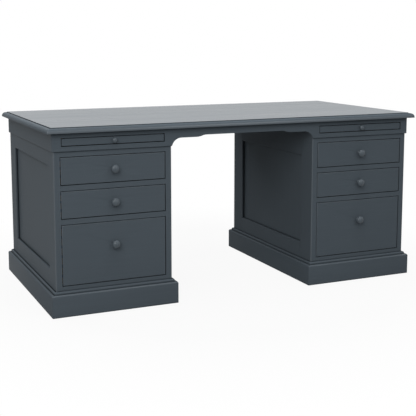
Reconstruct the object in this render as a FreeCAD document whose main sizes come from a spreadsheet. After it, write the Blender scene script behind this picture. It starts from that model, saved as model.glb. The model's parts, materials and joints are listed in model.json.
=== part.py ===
import FreeCAD, Part
import math
import os
import re

import Sketcher

# Pedestal desk: a moulded top with a frieze, on two pedestals of three drawers each
# Millimetres, +Z up, front towards -Y, origin on the floor below the middle of the top

SIZES = {
    # Desk top and its moulded edge
    "desk_height": 780,
    "top_width": 1770,
    "top_depth": 876,
    "top_thickness": 24,
    "edge_quirk": 3,
    "edge_shelf": 4,
    "edge_round": 17,
    "edge_nose": 1.5,
    "top_overhang": 25,
    # Frieze under the top
    "frieze_height": 76,
    "frieze_projection": 6,
    "frieze_thickness": 20,
    "frieze_corner_radius": 4,
    "frieze_lower_radius": 3,
    "cheek_thickness": 20,
    # Shaped lower edge of the aprons over the kneehole
    "apron_height": 34,
    "bracket_height": 42,
    "bracket_length": 117,
    "bracket_foot": 1,
    "bracket_cove": 43,
    "ogee_length": 45,
    # Pull-out slides in the frieze
    "slide_margin": 32,
    "slide_opening_height": 35,
    "slide_opening_drop": 20,
    "slide_board_thickness": 16,
    "slide_board_depth": 480,
    "slide_tongue": 8,
    "slide_travel": 320,
    "slide_clearance": 0.3,
    "slide_runner_height": 40,
    "slide_runner_lip": 9,
    "slide_runner_end": 30,
    "slide_stop_width": 60,
    "slide_stop_depth": 16,
    "slide_stop_drop": 14,
    # Pedestal carcass
    "pedestal_width": 509,
    "floor_clearance": 6,
    "frame_thickness": 20,
    "face_thickness": 20,
    "face_stile_width": 27,
    "face_top_rail": 21.5,
    "face_rail_height": 22,
    "face_bottom_reveal": 18.5,
    "face_bottom_rail": 60,
    "face_tenon_length": 18,
    "side_stile_width": 80,
    "back_stile_width": 80,
    "outer_top_rail": 63,
    "inner_top_rail": 88,
    "panel_base": 74,
    "panel_thickness": 6,
    "panel_recess": 11,
    "panel_groove": 8,
    "panel_slack": 0.5,
    "tenon_length": 30,
    "tenon_thickness": 7,
    "tenon_shoulder": 5,
    "arris_radius": 2,
    "case_corner_radius": 4,
    "case_board_thickness": 16,
    # Plinth boards round each pedestal
    "plinth_height": 105,
    "plinth_thickness": 22,
    "plinth_round": 8,
    "plinth_ledge": 4,
    "plinth_quirk": 2,
    "plinth_ovolo": 9,
    # Drawers and what they run on
    "shallow_drawer": 117,
    "front_gap": 3,
    "front_thickness": 20,
    "front_arris": 1.5,
    "drawer_depth": 620,
    "drawer_side": 12,
    "drawer_back": 12,
    "drawer_bottom": 6,
    "drawer_bottom_rise": 10,
    "drawer_groove": 5,
    "drawer_side_drop": 8,
    "drawer_back_drop": 6,
    "dovetail_lap": 7,
    "tail_wide_share": 0.7,
    "tail_narrow_share": 0.5,
    "shallow_tail_count": 3,
    "deep_tail_count": 6,
    "running_clearance": 0.3,
    "guide_clearance": 0.5,
    "stop_clearance": 0.3,
    "runner_thickness": 14,
    "runner_bearing": 16,
    "guide_height": 40,
    "stop_depth": 20,
    "stop_height": 12,
    # Turned knobs
    "knob_diameter": 36,
    "knob_projection": 30,
    "knob_rim_radius": 9,
    "knob_dome": 12,
    "knob_foot_diameter": 23,
    "knob_foot_height": 2.5,
    "knob_cove_radius": 8,
    "knob_spigot_diameter": 10,
    "knob_spigot_length": 14,
    "slide_knob_share": 0.61,
    "full_knob_share": 1,
    "shallow_knob_share": 0.5,
    "deep_knob_share": 0.625,
    # Dowels, corner blocks and cutting tools
    "dowel_diameter": 8,
    "dowel_length": 40,
    "dowel_spread": 200,
    "dowel_end_gap": 1,
    "glue_gap": 0.15,
    "block_leg": 45,
    "block_height": 16,
    "cut_overrun": 5,
}

LAYOUT = {
    # Levels and faces of the top section, as distances from the middle and the floor
    "top_under": "desk_height - top_thickness",
    "edge_lip": "desk_height - edge_quirk - edge_round",
    "frieze_x": "top_width / 2 - top_overhang",
    "frieze_y": "top_depth / 2 - top_overhang",
    "frieze_inner_x": "frieze_x - frieze_thickness",
    "frieze_inner_y": "frieze_y - frieze_thickness",
    "case_top": "top_under - frieze_height",
    # Faces of the pedestals
    "case_x": "frieze_x - frieze_projection",
    "case_y": "frieze_y - frieze_projection",
    "knee_x": "case_x - pedestal_width",
    "pedestal_x": "case_x - pedestal_width / 2",
    "case_half": "pedestal_width / 2",
    "inner_half": "case_half - frame_thickness",
    "inner_front": "case_y - face_thickness",
    "inner_back": "case_y - frame_thickness",
    "inner_depth": "inner_front + inner_back",
    "inner_middle": "(face_thickness - frame_thickness) / 2",
    "panel_floor": "plinth_height + panel_base",
    "outer_dowel_x": "(case_x + frieze_inner_x) / 2",
    "inner_dowel_x": "knee_x + frame_thickness / 2",
    # Shaped edge of the aprons
    "arch_level": "top_under - apron_height",
    "bracket_level": "top_under - bracket_height",
    "arch_foot": "knee_x - bracket_foot",
    "cove_end": "arch_foot - bracket_cove",
    "cove_rise": "bracket_level - case_top",
    "cove_radius": "(bracket_cove ^ 2 + cove_rise ^ 2) / (2 * cove_rise)",
    "ogee_start": "knee_x - bracket_length",
    "ogee_end": "ogee_start - ogee_length",
    "ogee_middle": "(ogee_start + ogee_end) / 2",
    "ogee_level": "(bracket_level + arch_level) / 2",
    "ogee_rise": "ogee_level - bracket_level",
    "ogee_run": "ogee_length / 2",
    "ogee_radius": "(ogee_run ^ 2 + ogee_rise ^ 2) / (2 * ogee_rise)",
    # Slides
    "slide_opening": "pedestal_width - 2 * slide_margin",
    "slide_opening_top": "top_under - slide_opening_drop",
    "slide_opening_base": "slide_opening_top - slide_opening_height",
    "slide_level": "slide_opening_top - slide_opening_height / 2",
    "slide_half": "slide_opening / 2 - front_gap",
    "slide_top": "slide_level + slide_board_thickness / 2",
    "slide_base": "slide_level - slide_board_thickness / 2",
    "slide_end": "slide_board_depth - frieze_inner_y",
    # Openings of the drawers
    "drawer_opening": "pedestal_width - 2 * face_stile_width",
    "box_half": "drawer_opening / 2 - front_gap",
    "box_root": "front_thickness - case_y",
    "box_rear": "drawer_depth - case_y",
    "back_front": "box_rear - drawer_back",
    "top_base": "case_top - face_top_rail - shallow_drawer",
    "middle_base": "top_base - face_rail_height - shallow_drawer",
    "deep_base": "plinth_height + face_bottom_reveal",
    "deep_drawer": "middle_base - face_rail_height - deep_base",
    "case_floor": "deep_base + front_gap - running_clearance - runner_thickness",
    # Plinth and knob
    "plinth_x": "case_half + plinth_thickness",
    "plinth_y": "case_y + plinth_thickness",
    "plinth_step": "plinth_height - plinth_ovolo",
    "plinth_shelf": "plinth_step - plinth_quirk",
    "plinth_foot": "plinth_round + plinth_ledge",
    "knob_radius": "knob_diameter / 2",
    "knob_waist": "knob_radius - knob_rim_radius",
    "knob_rim": "knob_projection - knob_dome",
    "knob_dome_radius":
        "(knob_waist ^ 2 + knob_dome ^ 2 - knob_rim_radius ^ 2) / (2 * (knob_dome - knob_rim_radius))",
    "knob_turn_share": "knob_dome_radius / (knob_dome_radius - knob_rim_radius)",
    "knob_turn_radius": "knob_waist * knob_turn_share",
    "knob_turn":
        "knob_projection - knob_dome_radius + (knob_dome_radius - knob_dome) * knob_turn_share",
}

LINE = None
LEFT_TURN = 1
RIGHT_TURN = -1
FULL_TURN = 360
QUARTER_TURN = 90
HALF_TURN = 180
SAME_PLANE = 1e-5

ALONG_X = FreeCAD.Vector(1, 0, 0)
ALONG_Y = FreeCAD.Vector(0, 1, 0)
ALONG_Z = FreeCAD.Vector(0, 0, 1)

doc = FreeCAD.newDocument("PedestalDesk")
nodes = []


def bound(formula):
    """The formula with the sheet of each named value written before its name."""
    def with_sheet(found):
        word = found.group(0)
        if word in SIZES:
            return "Sizes." + word
        return "Layout." + word if word in LAYOUT else word
    return re.sub(r"[a-z_]+", with_sheet, str(formula))


def fill_sheet(name, cells):
    """A spreadsheet with one aliased cell for each named value."""
    sheet = doc.addObject("Spreadsheet::Sheet", name)
    for row, (alias, content) in enumerate(cells.items(), 1):
        sheet.set(f"A{row}", alias)
        sheet.set(f"B{row}", content)
        sheet.setAlias(f"B{row}", alias)
    doc.recompute()
    return sheet


fill_sheet("Sizes", {alias: str(value) for alias, value in SIZES.items()})
layout = fill_sheet("Layout", {alias: "=" + bound(formula) for alias, formula in LAYOUT.items()})


def value(formula):
    """The number that a formula of named values gives."""
    return float(layout.evalExpression(bound(formula)))


def place(made, at, turn=0, axis=ALONG_Z):
    """Turn an object about an axis and bind its position to three formulas."""
    made.Placement = FreeCAD.Placement(FreeCAD.Vector(), FreeCAD.Rotation(axis, turn))
    for letter, formula in zip("xyz", at):
        made.setExpression("Placement.Base." + letter, bound(formula))
    return made


def block(name, x, y, z):
    """A rectangular block between two formulas along each axis."""
    made = doc.addObject("Part::Box", name)
    for side, (low, high) in zip(("Length", "Width", "Height"), (x, y, z)):
        made.setExpression(side, bound(f"({high}) - ({low})"))
    return place(made, (x[0], y[0], z[0]))


def tapered(name, y, x_near, x_far, z_near, z_far, turn=0):
    """A block whose sections at the two ends of its depth differ."""
    made = doc.addObject("Part::Wedge", name)
    ends = {"Y": y, "X": x_near, "X2": x_far, "Z": z_near, "Z2": z_far}
    for letter, (low, high) in ends.items():
        made.setExpression(letter + "min", bound(low))
        made.setExpression(letter + "max", bound(high))
    return place(made, (0, 0, 0), turn)


def rod(name, diameter, length, at, turn=0):
    """A round rod that points up, or along +Y when it is turned by a quarter."""
    made = doc.addObject("Part::Cylinder", name)
    made.setExpression("Radius", bound(f"({diameter}) / 2"))
    made.setExpression("Height", bound(length))
    return place(made, at, -turn, ALONG_X)


def fuse(name, *pieces):
    """One solid made of several."""
    made = doc.addObject("Part::MultiFuse", name)
    made.Shapes = list(pieces)
    made.Refine = True
    return made


def cut(name, base, *tools):
    """A piece with the tools taken away from it."""
    made = doc.addObject("Part::Cut", name)
    made.Base = base
    made.Tool = tools[0] if len(tools) == 1 else fuse(name + "_tools", *tools)
    made.Refine = True
    return made


def common(name, first, second):
    """What two solids share."""
    made = doc.addObject("Part::Common", name)
    made.Base = first
    made.Tool = second
    made.Refine = True
    return made


def mirrored(name, source, normal=ALONG_X):
    """A mirror image across the middle plane."""
    made = doc.addObject("Part::Mirroring", name)
    made.Source = source
    made.Normal = normal
    return made


def together(name, pieces, at=(0, 0, 0), turn=0):
    """Several separate solids that are placed as one."""
    made = doc.addObject("Part::Compound", name)
    made.Links = list(pieces)
    return place(made, at, turn)


def node(label, *pieces, at=(0, 0, 0)):
    """A sub-part of the desk, which gets its own file."""
    made = together(label, pieces, at)
    made.Label = label
    nodes.append(made)
    return made


def pedestal_node(name, *pieces):
    """A sub-part modelled about the middle of a pedestal, for the left one and for the right one."""
    left = node("left_" + name, *pieces, at=("-pedestal_x", 0, 0))
    right = mirrored("right_" + name, left)
    right.Label = "right_" + name
    nodes.append(right)


def arc_between(start, end, radius, turn):
    """The shorter arc from start to end, which turns left or right."""
    chord = end - start
    reach = math.sqrt(radius ** 2 - (chord.Length / 2) ** 2)
    aside = FreeCAD.Vector(-chord.y, chord.x, 0).normalize() * (turn * reach)
    centre = (start + end) / 2 + aside
    angles = [math.atan2(point.y - centre.y, point.x - centre.x) for point in (start, end)]
    return Part.ArcOfCircle(Part.Circle(centre, ALONG_Z, radius), *angles[::turn])


def draw(sketch, outline):
    """Draw one closed outline, with each corner and radius held by a formula.

    Each step is a corner and how it is reached from the corner before: x, y, radius, turn.
    """
    corners = [FreeCAD.Vector(value(step[0]), value(step[1]), 0) for step in outline]
    links = []
    for number, step in enumerate(outline):
        start, end = corners[number - 1], corners[number]
        if step[2] is LINE:
            shape, ends = Part.LineSegment(start, end), (1, 2)
        else:
            shape, ends = arc_between(start, end, value(step[2]), step[3]), (1, 2)[::step[3]]
        links.append((sketch.addGeometry(shape, False), *ends))
    for number, (edge, first, last) in enumerate(links):
        after = links[(number + 1) % len(links)]
        sketch.addConstraint(Sketcher.Constraint("Coincident", edge, last, after[0], after[1]))
        x, y, radius, _ = outline[number]
        for kind, formula in (("DistanceX", x), ("DistanceY", y)):
            held = Sketcher.Constraint(kind, -1, 1, edge, last, value(formula))
            index = sketch.addConstraint(held)
            sketch.setExpression(f"Constraints[{index}]", bound(formula))
        if radius is not LINE:
            index = sketch.addConstraint(Sketcher.Constraint("Radius", edge, value(radius)))
            sketch.setExpression(f"Constraints[{index}]", bound(radius))


def drawn_body(name, role, outlines):
    """A body with one sketch on one of its own origin planes."""
    body = doc.addObject("PartDesign::Body", name)
    sketch = body.newObject("Sketcher::SketchObject", name + "_sketch")
    plane = next(item for item in body.Origin.OriginFeatures if item.Role == role)
    sketch.AttachmentSupport = [(plane, "")]
    sketch.MapMode = "FlatFace"
    for outline in outlines:
        draw(sketch, outline)
    return body, sketch


def padded(name, role, outlines, length, at=(0, 0, 0), middle=True):
    """A body padded from its outlines, to both sides of the plane or to one."""
    body, sketch = drawn_body(name, role, outlines)
    pad = body.newObject("PartDesign::Pad", name + "_pad")
    pad.Profile = sketch
    pad.setExpression("Length", bound(length))
    if middle:
        pad.SideType = "Symmetric"
    return place(body, at)


def eased(body, radius, wanted):
    """Round the edges of a padded body that the test wants."""
    doc.recompute()
    base = body.Tip
    names = [f"Edge{n}" for n, edge in enumerate(base.Shape.Edges, 1) if wanted(edge.BoundBox)]
    fillet = body.newObject("PartDesign::Fillet", body.Name + "_fillet")
    fillet.Base = (base, names)
    fillet.setExpression("Radius", bound(radius))
    return body


def corner(x, y):
    """An outline step along a straight line."""
    return (x, y, LINE, LINE)


def rectangle(x, y):
    """The outline of a rectangle between two formulas each way."""
    return [corner(x[0], y[0]), corner(x[1], y[0]), corner(x[1], y[1]), corner(x[0], y[1])]


def both_ways(formula):
    """The span from a distance on one side of the middle to the same on the other."""
    return (f"-({formula})", formula)


def within(span):
    """A span shortened at both ends by the gap that glue fills."""
    low, high = span
    return (f"{low} + glue_gap", f"{high} - glue_gap")


def on_plane(number, level):
    """Whether a bounding box coordinate lies on a level."""
    return math.isclose(number, level, abs_tol=SAME_PLANE)


def moulded(name, half_width, half_depth, edge):
    """A slab with the same moulding mitred round its four edges.

    The edge runs upwards as steps of inset, level, radius and turn, measured from the outer face.
    """
    slices = []
    for role, half, length in (
        ("XZ_Plane", half_width, half_depth),
        ("YZ_Plane", half_depth, half_width),
    ):
        rising = [(f"({half}) - ({inset})", level, *way) for inset, level, *way in edge]
        ways = [step[2:] for step in rising[1:]] + [(LINE, LINE)]
        falling = [(f"-({x})", level, *way) for (x, level, _, _), way in zip(rising, ways)][::-1]
        slices.append(padded(f"{name}_{role[:2]}", role, [rising + falling], f"2 * ({length})"))
    return common(name, *slices)


def mitred_boards(name, ring, half_width, half_depth, thickness, z):
    """The front and left boards that a ring is mitred into."""
    boards = []
    for side, along, across, turn in (
        ("front", half_width, half_depth, 0),
        ("left", half_depth, half_width, -QUARTER_TURN),
    ):
        prism = tapered(
            f"{name}_{side}_mitre",
            (f"-({across})", f"({thickness}) - ({across})"),
            both_ways(along),
            both_ways(f"({along}) - ({thickness})"),
            z,
            z,
            turn,
        )
        boards.append(common(f"{name}_{side}", ring, prism))
    return boards


# Desk top

edge_steps = [
    ("edge_nose", "top_under", LINE, LINE),
    (0, "top_under + edge_nose", "edge_nose", LEFT_TURN),
    (0, "edge_lip", LINE, LINE),
    ("edge_round", "desk_height - edge_quirk", "edge_round", LEFT_TURN),
    ("edge_round + edge_shelf", "desk_height - edge_quirk", LINE, LINE),
    ("edge_round + edge_shelf", "desk_height", LINE, LINE),
]
node("desk_top", moulded("top_board", "top_width / 2", "top_depth / 2", edge_steps))

# Frieze: a ring of four mitred boards with a rounded lower edge

corner_x = "frieze_x - frieze_corner_radius"
corner_y = "frieze_y - frieze_corner_radius"
frieze_outline = [
    (f"-({corner_x})", "-frieze_y", "frieze_corner_radius", LEFT_TURN),
    corner(corner_x, "-frieze_y"),
    ("frieze_x", f"-({corner_y})", "frieze_corner_radius", LEFT_TURN),
    corner("frieze_x", corner_y),
    (corner_x, "frieze_y", "frieze_corner_radius", LEFT_TURN),
    corner(f"-({corner_x})", "frieze_y"),
    ("-frieze_x", corner_y, "frieze_corner_radius", LEFT_TURN),
    corner("-frieze_x", f"-({corner_y})"),
]
frieze_z = ("case_top", "top_under")
frieze_body = padded(
    "frieze_body", "XY_Plane", [frieze_outline], "frieze_height", (0, 0, "case_top"), False
)
eased(frieze_body, "frieze_lower_radius", lambda box: on_plane(box.ZMax, 0))
frieze_hollow = block(
    "frieze_hollow", both_ways("frieze_inner_x"), both_ways("frieze_inner_y"), frieze_z
)
frieze_ring = cut("frieze_ring", frieze_body, frieze_hollow)
frieze_front, frieze_left = mitred_boards(
    "frieze", frieze_ring, "frieze_x", "frieze_y", "frieze_thickness", frieze_z
)

# Aprons: the long frieze boards, shaped over the kneehole, the front one with two slide openings

rising_edge = [
    ("arch_foot", "case_top", LINE, LINE),
    ("cove_end", "bracket_level", "cove_radius", LEFT_TURN),
    ("ogee_start", "bracket_level", LINE, LINE),
    ("ogee_middle", "ogee_level", "ogee_radius", RIGHT_TURN),
    ("ogee_end", "arch_level", "ogee_radius", LEFT_TURN),
]
rising_ways = [step[2:] for step in rising_edge[1:]] + [(LINE, LINE)]
falling_edge = [
    ("-" + x, level, *way) for (x, level, _, _), way in zip(rising_edge, rising_ways)
][::-1]
arch_outline = [
    corner("-arch_foot", "case_top - cut_overrun"),
    corner("arch_foot", "case_top - cut_overrun"),
    *rising_edge,
    *falling_edge,
]
arch = padded("arch", "XZ_Plane", [arch_outline], "top_depth")
slide_hole = block(
    "slide_hole",
    ("-pedestal_x - slide_opening / 2", "-pedestal_x + slide_opening / 2"),
    ("-frieze_y - cut_overrun", "-frieze_inner_y + cut_overrun"),
    ("slide_opening_base", "slide_opening_top"),
)
slide_holes = (slide_hole, mirrored("slide_hole_2", slide_hole))
node("front_apron", cut("front_apron_board", frieze_front, arch, *slide_holes))
node("back_apron", cut("back_apron_board", mirrored("frieze_back", frieze_front, ALONG_Y), arch))

# Dowels that locate the top section on a pedestal, and their holes


def dowel_hole(name, x, y):
    """A hole drilled a little wider and deeper than the half of the dowel on each side of the joint."""
    at = (x, y, "case_top - dowel_length / 2 - dowel_end_gap")
    return rod(name, "dowel_diameter + 2 * glue_gap", "dowel_length + 2 * dowel_end_gap", at)


dowels = []
dowel_holes = {}
for side, across in (("outer", "outer_dowel_x"), ("inner", "inner_dowel_x")):
    dowel_holes[side] = []
    for end, along in (("front", "-dowel_spread"), ("back", "dowel_spread")):
        at = (f"-{across}", along, "case_top - dowel_length / 2")
        dowels.append(rod(f"{side}_{end}_dowel", "dowel_diameter", "dowel_length", at))
        dowel_holes[side].append(dowel_hole(f"{side}_{end}_hole", f"-{across}", along))
left_dowels = together("left_dowels", dowels)
node("locating_dowels", left_dowels, mirrored("right_dowels", left_dowels))

frieze_side = cut("frieze_side", frieze_left, *dowel_holes["outer"])
node("frieze_sides", frieze_side, mirrored("frieze_side_2", frieze_side))
cheek_x = ("-knee_x - cheek_thickness", "-knee_x")
cheek_board = block("cheek_board", cheek_x, both_ways("frieze_inner_y"), frieze_z)
cheek = cut("cheek", cheek_board, *dowel_holes["inner"])
node("frieze_cheeks", cheek, mirrored("cheek_2", cheek))

# Corner blocks under the top

block_front = "-frieze_inner_y"
blocks = []
for side, x, reach in (
    ("outer", "-frieze_inner_x", "block_leg - frieze_inner_x"),
    ("inner", "-knee_x - cheek_thickness", "-knee_x - cheek_thickness - block_leg"),
):
    outline = [
        corner(x, block_front),
        corner(reach, block_front),
        corner(x, f"{block_front} + block_leg"),
    ]
    at = (0, 0, "top_under - block_height")
    blocks.append(padded(f"{side}_block", "XY_Plane", [outline], "block_height", at, False))
front_blocks = together("front_blocks", blocks)
left_blocks = together("left_blocks", [front_blocks, mirrored("back_blocks", front_blocks, ALONG_Y)])
node("corner_blocks", left_blocks, mirrored("right_blocks", left_blocks))

# Knobs: a domed head, a waist and a foot, turned in one with the spigot


def knob(name, scale, at):
    """A turned knob about an axis along Y, with its spigot behind the face that it stands on."""
    def step(radius, height, arc=LINE, turn=LINE):
        arc = LINE if arc is LINE else f"({arc}) * {scale}"
        return (f"({radius}) * {scale}", f"-({height}) * {scale}", arc, turn)
    profile = [
        step(0, "-knob_spigot_length"),
        step(0, "knob_projection"),
        step("knob_turn_radius", "knob_turn", "knob_dome_radius", LEFT_TURN),
        step("knob_radius", "knob_rim", "knob_rim_radius", LEFT_TURN),
        step("knob_waist", "knob_rim - knob_rim_radius", "knob_rim_radius", LEFT_TURN),
        step("knob_foot_diameter / 2", "knob_foot_height", "knob_cove_radius", RIGHT_TURN),
        step("knob_foot_diameter / 2", 0),
        step("knob_spigot_diameter / 2", 0),
        step("knob_spigot_diameter / 2", "-knob_spigot_length"),
    ]
    body, sketch = drawn_body(name, "XY_Plane", [profile])
    turned = body.newObject("PartDesign::Revolution", name + "_turned")
    turned.Profile = sketch
    turned.ReferenceAxis = (sketch, ["V_Axis"])
    turned.Angle = FULL_TURN
    return place(body, at)


def knob_hole(name, scale, at):
    """The blind hole that a knob's spigot is glued into."""
    x, y, z = at
    depth = f"knob_spigot_length * {scale} + glue_gap + cut_overrun"
    size = f"knob_spigot_diameter * {scale} + 2 * glue_gap"
    return rod(name, size, depth, (x, f"{y} - cut_overrun", z), QUARTER_TURN)


def front_board(name, half_width, z, face, thickness):
    """A board with rounded arrises round the face that it shows."""
    low, high = z
    outline = rectangle(both_ways(half_width), (low, high))
    body = padded(name, "XZ_Plane", [outline], thickness, (0, f"{face} + {thickness} / 2", 0))
    front = value(f"-({thickness}) / 2")
    return eased(
        body, "front_arris", lambda box: on_plane(box.YMin, front) and on_plane(box.YMax, front)
    )


# Slides: a board in grooved runners, with a front lipping, a knob and a stop block

slide_board = block(
    "slide_board",
    both_ways("slide_half"),
    ("-frieze_inner_y - slide_tongue", "slide_end"),
    ("slide_base", "slide_top"),
)
slide_stop = block(
    "slide_stop",
    both_ways("slide_stop_width / 2"),
    ("slide_travel + stop_clearance - frieze_inner_y",
     "slide_travel + stop_clearance + slide_stop_depth - frieze_inner_y"),
    ("slide_base - slide_stop_drop", "slide_base"),
)
slide_face = front_board(
    "slide_face",
    "slide_half",
    ("slide_opening_base + front_gap", "slide_opening_top - front_gap"),
    "-frieze_y",
    "frieze_thickness",
)
slide_knob_at = (0, "-frieze_y", "slide_level")
slide_groove = block(
    "slide_groove",
    both_ways("slide_half + cut_overrun"),
    ("-frieze_inner_y - slide_tongue", "-frieze_inner_y + cut_overrun"),
    ("slide_base", "slide_top"),
)
slide_knob_hole = knob_hole("slide_knob_hole", "slide_knob_share", slide_knob_at)
pedestal_node("slide_board", slide_board, slide_stop)
pedestal_node("slide_front", cut("slide_lipping", slide_face, slide_groove, slide_knob_hole))
pedestal_node("slide_knob", knob("slide_knob", "slide_knob_share", slide_knob_at))

slide_runners = []
runner_lip = "slide_opening / 2 - slide_runner_lip"
for side, span, reach in (
    (
        "outer",
        ("pedestal_x - frieze_inner_x", f"-({runner_lip})"),
        ("-slide_opening / 2", f"cut_overrun - ({runner_lip})"),
    ),
    (
        "inner",
        (runner_lip, "pedestal_x - knee_x - cheek_thickness"),
        (f"{runner_lip} - cut_overrun", "slide_opening / 2"),
    ),
):
    rail = block(
        f"{side}_slide_rail",
        span,
        ("-frieze_inner_y", "slide_end + slide_clearance + slide_runner_end"),
        ("slide_level - slide_runner_height / 2", "slide_level + slide_runner_height / 2"),
    )
    groove = block(
        f"{side}_slide_rail_groove",
        reach,
        ("-frieze_inner_y - cut_overrun", "slide_end + slide_clearance"),
        ("slide_base - slide_clearance", "slide_top + slide_clearance"),
    )
    slide_runners.append(cut(f"{side}_slide_runner", rail, groove))
left_slide_runners = together("left_slide_runners", slide_runners, ("-pedestal_x", 0, 0))
node("slide_runners", left_slide_runners, mirrored("right_slide_runners", left_slide_runners))

# Face frame: two stiles with a rounded outer arris, and rails tenoned into them

stile_inner = "face_stile_width - case_half"
stile_outline = [
    corner("-case_half", "face_thickness - case_y"),
    corner("-case_half", "case_corner_radius - case_y"),
    ("case_corner_radius - case_half", "-case_y", "case_corner_radius", LEFT_TURN),
    corner(stile_inner, "-case_y"),
    corner(stile_inner, "face_thickness - case_y"),
]
stile_board = padded(
    "face_stile_board",
    "XY_Plane",
    [stile_outline],
    "case_top - floor_clearance",
    (0, 0, "floor_clearance"),
    False,
)
face_tenon_y = (
    "(face_thickness - tenon_thickness) / 2 - case_y",
    "(face_thickness + tenon_thickness) / 2 - case_y",
)
face_rails = []
face_mortises = []
for name, low, high in (
    ("top", "case_top - face_top_rail", "case_top"),
    ("upper", "top_base - face_rail_height", "top_base"),
    ("lower", "middle_base - face_rail_height", "middle_base"),
    ("bottom", "deep_base - face_bottom_rail", "deep_base"),
):
    rail = block(
        f"{name}_rail_board",
        both_ways("drawer_opening / 2 - glue_gap"),
        ("-case_y", "-inner_front"),
        (low, high),
    )
    mortise = (
        both_ways("drawer_opening / 2 + face_tenon_length"),
        face_tenon_y,
        (f"{low} + tenon_shoulder", f"{high} - tenon_shoulder"),
    )
    tenon = block(f"{name}_rail_tenon", *map(within, mortise))
    face_rails.append(fuse(f"{name}_rail", rail, tenon))
    face_mortises.append(block(f"{name}_rail_mortise", *mortise))
face_stile = cut("face_stile", stile_board, *face_mortises)
pedestal_node("face_frame", face_stile, mirrored("face_stile_2", face_stile), *face_rails)

# Frame and panel: grooved stiles and rails with a rounded inner arris, round a flat panel


def frame_and_panel(name, length, stile, top_rail, at, turn, dowels_at=(), round_ends=False):
    """A frame whose outer face looks along -Y before it is turned, and its panel."""
    opening_x = f"({length}) / 2 - {stile}"
    opening_top = f"case_top - {top_rail}"
    outlines = [
        rectangle(both_ways(f"({length}) / 2"), ("floor_clearance", "case_top")),
        rectangle(both_ways(opening_x), ("panel_floor", opening_top)),
    ]
    ring = padded(
        f"{name}_ring", "XZ_Plane", outlines, "frame_thickness", (0, "frame_thickness / 2", 0)
    )
    outer_face = value("-frame_thickness / 2")
    end_x = value(f"({length}) / 2")
    case_height = value("case_top - floor_clearance")

    def arris(box):
        """Edges of the opening, and the upright ends where they show, on the outer face."""
        if not (on_plane(box.YMin, outer_face) and on_plane(box.YMax, outer_face)):
            return False
        if on_plane(abs(box.XMin), end_x) and on_plane(abs(box.XMax), end_x):
            return round_ends and on_plane(box.ZLength, case_height)
        return True

    eased(ring, "arris_radius", arris)
    panel_y = ("panel_recess", "panel_recess + panel_thickness")
    groove = block(
        f"{name}_groove",
        both_ways(f"{opening_x} + panel_groove"),
        panel_y,
        ("panel_floor - panel_groove", f"{opening_top} + panel_groove"),
    )
    holes = [dowel_hole(f"{name}_dowel_hole", *hole_at) for hole_at in dowels_at]
    grooved = cut(f"{name}_grooved", ring, groove, *holes)
    depth = (0, "frame_thickness")
    mortise_x = both_ways(f"{opening_x} + tenon_length")
    rails = []
    mortises = []
    for end, rail_z, mortise_z in (
        (
            "top",
            (opening_top, "case_top"),
            (f"{opening_top} + panel_groove", "case_top - tenon_shoulder"),
        ),
        (
            "bottom",
            ("floor_clearance", "panel_floor"),
            ("floor_clearance + tenon_shoulder", "panel_floor - panel_groove"),
        ),
    ):
        strip = block(f"{name}_{end}_strip", both_ways(f"{opening_x} - glue_gap"), depth, rail_z)
        rail_board = common(f"{name}_{end}_board", grooved, strip)
        mortise = (mortise_x, panel_y, mortise_z)
        tenon = block(f"{name}_{end}_tenon", *map(within, mortise))
        tongue = cut(f"{name}_{end}_tongue", tenon, *holes) if holes else tenon
        rails.append(fuse(f"{name}_{end}_rail", rail_board, tongue))
        mortises.append(block(f"{name}_{end}_mortise", *mortise))
    stile_x = (f"-({length}) / 2", f"-({opening_x})")
    stile_strip = block(f"{name}_stile_strip", stile_x, depth, ("floor_clearance", "case_top"))
    stile_board = common(f"{name}_stile_board", grooved, stile_strip)
    first = cut(f"{name}_stile", stile_board, *mortises)
    reach = "panel_groove - panel_slack"
    panel = block(
        f"{name}_panel_board",
        both_ways(f"{opening_x} + {reach}"),
        panel_y,
        ("panel_floor - panel_groove + panel_slack", f"{opening_top} + {reach}"),
    )
    frame = together(f"{name}_frame", [first, mirrored(f"{name}_stile_2", first), *rails], at, turn)
    return frame, together(f"{name}_panel", [panel], at, turn)


outer_frame, outer_panel = frame_and_panel(
    "outer_side",
    "inner_depth",
    "side_stile_width",
    "outer_top_rail",
    ("-case_half", "inner_middle", 0),
    -QUARTER_TURN,
    [(f"inner_middle {end} dowel_spread", "case_x - outer_dowel_x") for end in "+-"],
)
inner_frame, inner_panel = frame_and_panel(
    "inner_side",
    "inner_depth",
    "side_stile_width",
    "inner_top_rail",
    ("case_half", "inner_middle", 0),
    QUARTER_TURN,
    [(f"-inner_middle {end} dowel_spread", "inner_dowel_x - knee_x") for end in "+-"],
)
back_frame, back_panel = frame_and_panel(
    "back",
    "pedestal_width",
    "back_stile_width",
    "outer_top_rail",
    (0, "case_y", 0),
    HALF_TURN,
    round_ends=True,
)
pedestal_node("side_frames", outer_frame, inner_frame)
pedestal_node("back_frame", back_frame)
pedestal_node("panels", outer_panel, inner_panel, back_panel)

# Boards that close a pedestal

case_span = (both_ways("inner_half"), ("-inner_front", "inner_back"))
for name, upper in (("bottom_board", "case_floor"), ("top_board", "case_top")):
    board_z = (f"{upper} - case_board_thickness", upper)
    pedestal_node(name, block(f"case_{name}", *case_span, board_z))

# Plinth: four moulded boards, mitred at the corners

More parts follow.
